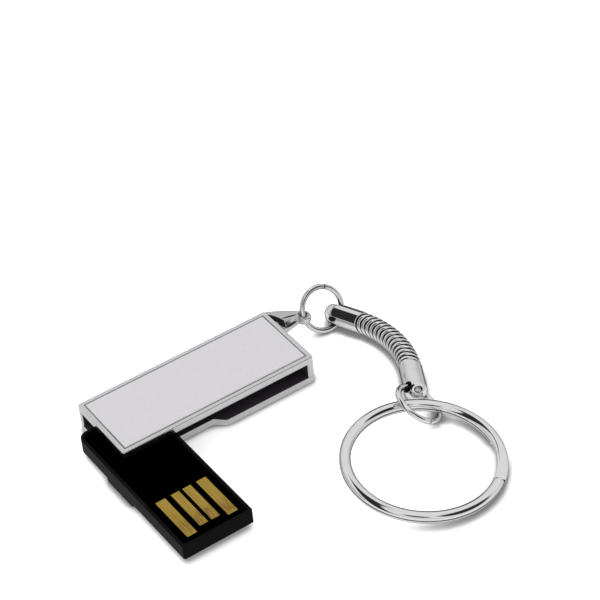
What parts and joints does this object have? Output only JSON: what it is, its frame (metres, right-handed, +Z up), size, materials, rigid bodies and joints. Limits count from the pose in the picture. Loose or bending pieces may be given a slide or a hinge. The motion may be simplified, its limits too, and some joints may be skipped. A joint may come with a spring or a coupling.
{
  "type": "usb flash drive",
  "caption": "Swing-out USB flash drive: a polished casing with a matt top panel, a black contact slug turned out on its pivot, and a snake chain to a split key ring.",
  "frame": {"origin": "centre of the casing's underside", "axes": "+Z up out of the casing's top panel, +X along the casing towards the chain's end, +Y towards the casing's closed back wall"},
  "size_m": [0.0521, 0.0523, 0.0068],
  "materials": {
    "casing_body": "polished",
    "bottom_plate": "polished",
    "top_panel": "fine matt grain",
    "pivot_pin": "plain",
    "base_screw": "plain",
    "spring_washer": "plain",
    "slug_carrier": "satin dark grey",
    "contact_board": "gloss black",
    "contact_pad_1": "gold plated",
    "contact_pad_2": "gold plated",
    "contact_pad_3": "gold plated",
    "contact_pad_4": "gold plated",
    "pivot_bush": "plain",
    "memory_chip": "matt",
    "controller_chip": "matt",
    "timing_crystal": "plain",
    "jump_ring": "polished",
    "chain_cap_a": "polished",
    "chain_link_01": "polished",
    "chain_link_02": "polished",
    "chain_link_03": "polished",
    "chain_link_04": "polished",
    "chain_link_05": "polished",
    "chain_link_06": "polished",
    "chain_link_07": "polished",
    "chain_link_08": "polished",
    "chain_link_09": "polished",
    "chain_link_10": "polished",
    "chain_link_11": "polished",
    "chain_link_12": "polished",
    "chain_link_13": "polished",
    "chain_link_14": "polished",
    "chain_link_15": "polished",
    "chain_cap_b": "polished",
    "connector_ring": "polished",
    "key_ring": "polished"
  },
  "bodies": {
    "casing": {"casing_body": "casing_body", "bottom_plate": "bottom_plate", "top_panel": "top_panel", "pivot_pin": "pivot_pin", "base_screw": "base_screw", "spring_washer": "spring_washer"},
    "slug": {"slug_carrier": "slug_carrier", "contact_board": "contact_board", "contact_pad_1": "contact_pad_1", "contact_pad_2": "contact_pad_2", "contact_pad_3": "contact_pad_3", "contact_pad_4": "contact_pad_4", "pivot_bush": "pivot_bush", "memory_chip": "memory_chip", "controller_chip": "controller_chip", "timing_crystal": "timing_crystal"},
    "jump_ring": {"jump_ring": "jump_ring"},
    "chain_cap_a": {"chain_cap_a": "chain_cap_a"},
    "chain_link_01": {"chain_link_01": "chain_link_01"},
    "chain_link_02": {"chain_link_02": "chain_link_02"},
    "chain_link_03": {"chain_link_03": "chain_link_03"},
    "chain_link_04": {"chain_link_04": "chain_link_04"},
    "chain_link_05": {"chain_link_05": "chain_link_05"},
    "chain_link_06": {"chain_link_06": "chain_link_06"},
    "chain_link_07": {"chain_link_07": "chain_link_07"},
    "chain_link_08": {"chain_link_08": "chain_link_08"},
    "chain_link_09": {"chain_link_09": "chain_link_09"},
    "chain_link_10": {"chain_link_10": "chain_link_10"},
    "chain_link_11": {"chain_link_11": "chain_link_11"},
    "chain_link_12": {"chain_link_12": "chain_link_12"},
    "chain_link_13": {"chain_link_13": "chain_link_13"},
    "chain_link_14": {"chain_link_14": "chain_link_14"},
    "chain_link_15": {"chain_link_15": "chain_link_15"},
    "chain_cap_b": {"chain_cap_b": "chain_cap_b"},
    "connector_ring": {"connector_ring": "connector_ring"},
    "key_ring": {"key_ring": "key_ring"}
  },
  "joints": [
    {"name": "slug_swing", "type": "hinge", "parent": "casing", "child": "slug", "pos_m": [-0.0139, -0.00045, 0], "axis": [0, 0, 1], "range_deg": [-90.6, 89.4]},
    {"name": "ring_swing", "type": "hinge", "parent": "casing", "child": "jump_ring", "pos_m": [0.02185, 0.00312, 0.00343], "axis": [0, 0, 1], "range_deg": [-9, 9]},
    {"name": "cap_swing", "type": "hinge", "parent": "jump_ring", "child": "chain_cap_a", "pos_m": [0.02744, 0.0017, 0.00182], "axis": [0, 0, -1], "range_deg": [-15, 20]},
    {"name": "chain_bend_01", "type": "hinge", "parent": "chain_cap_a", "child": "chain_link_01", "pos_m": [0.02927, -0.00225, 0.00182], "axis": [0, 0, 1], "range_deg": [-1.5, 6.5]},
    {"name": "chain_bend_02", "type": "hinge", "parent": "chain_link_01", "child": "chain_link_02", "pos_m": [0.0296, -0.00308, 0.00182], "axis": [0, 0, 1], "range_deg": [-1.5, 6.5]},
    {"name": "chain_bend_03", "type": "hinge", "parent": "chain_link_02", "child": "chain_link_03", "pos_m": [0.02987, -0.00393, 0.00182], "axis": [0, 0, 1], "range_deg": [-1.5, 6.5]},
    {"name": "chain_bend_04", "type": "hinge", "parent": "chain_link_03", "child": "chain_link_04", "pos_m": [0.03011, -0.00479, 0.00182], "axis": [0, 0, 1], "range_deg": [-1.5, 6.5]},
    {"name": "chain_bend_05", "type": "hinge", "parent": "chain_link_04", "child": "chain_link_05", "pos_m": [0.03029, -0.00566, 0.00182], "axis": [0, 0, 1], "range_deg": [-1.5, 6.5]},
    {"name": "chain_bend_06", "type": "hinge", "parent": "chain_link_05", "child": "chain_link_06", "pos_m": [0.03042, -0.00654, 0.00182], "axis": [0, 0, 1], "range_deg": [-1.5, 6.5]},
    {"name": "chain_bend_07", "type": "hinge", "parent": "chain_link_06", "child": "chain_link_07", "pos_m": [0.0305, -0.00743, 0.00182], "axis": [0, 0, 1], "range_deg": [-1.5, 6.5]},
    {"name": "chain_bend_08", "type": "hinge", "parent": "chain_link_07", "child": "chain_link_08", "pos_m": [0.03053, -0.00832, 0.00182], "axis": [0, 0, 1], "range_deg": [-1.5, 6.5]},
    {"name": "chain_bend_09", "type": "hinge", "parent": "chain_link_08", "child": "chain_link_09", "pos_m": [0.03051, -0.00921, 0.00182], "axis": [0, 0, 1], "range_deg": [-1.5, 6.5]},
    {"name": "chain_bend_10", "type": "hinge", "parent": "chain_link_09", "child": "chain_link_10", "pos_m": [0.03044, -0.0101, 0.00182], "axis": [0, 0, 1], "range_deg": [-1.5, 6.5]},
    {"name": "chain_bend_11", "type": "hinge", "parent": "chain_link_10", "child": "chain_link_11", "pos_m": [0.03031, -0.01098, 0.00182], "axis": [0, 0, 1], "range_deg": [-1.5, 6.5]},
    {"name": "chain_bend_12", "type": "hinge", "parent": "chain_link_11", "child": "chain_link_12", "pos_m": [0.03014, -0.01186, 0.00182], "axis": [0, 0, 1], "range_deg": [-1.5, 6.5]},
    {"name": "chain_bend_13", "type": "hinge", "parent": "chain_link_12", "child": "chain_link_13", "pos_m": [0.02992, -0.01272, 0.00182], "axis": [0, 0, 1], "range_deg": [-1.5, 6.5]},
    {"name": "chain_bend_14", "type": "hinge", "parent": "chain_link_13", "child": "chain_link_14", "pos_m": [0.02965, -0.01357, 0.00182], "axis": [0, 0, 1], "range_deg": [-1.5, 6.5]},
    {"name": "chain_bend_15", "type": "hinge", "parent": "chain_link_14", "child": "chain_link_15", "pos_m": [0.02933, -0.0144, 0.00182], "axis": [0, 0, 1], "range_deg": [-1.5, 6.5]},
    {"name": "chain_bend_16", "type": "hinge", "parent": "chain_link_15", "child": "chain_cap_b", "pos_m": [0.02896, -0.01521, 0.00182], "axis": [0, 0, 1], "range_deg": [-1.5, 6.5]},
    {"name": "connector_swing", "type": "hinge", "parent": "chain_cap_b", "child": "connector_ring", "pos_m": [0.02634, -0.02026, 0.00235], "axis": [0, 0, 1], "range_deg": [-15, 15]},
    {"name": "key_ring_swing", "type": "hinge", "parent": "connector_ring", "child": "key_ring", "pos_m": [0.02468, -0.02339, 0.00239], "axis": [0, 0, 1], "range_deg": [-2, 15]}
  ]
}
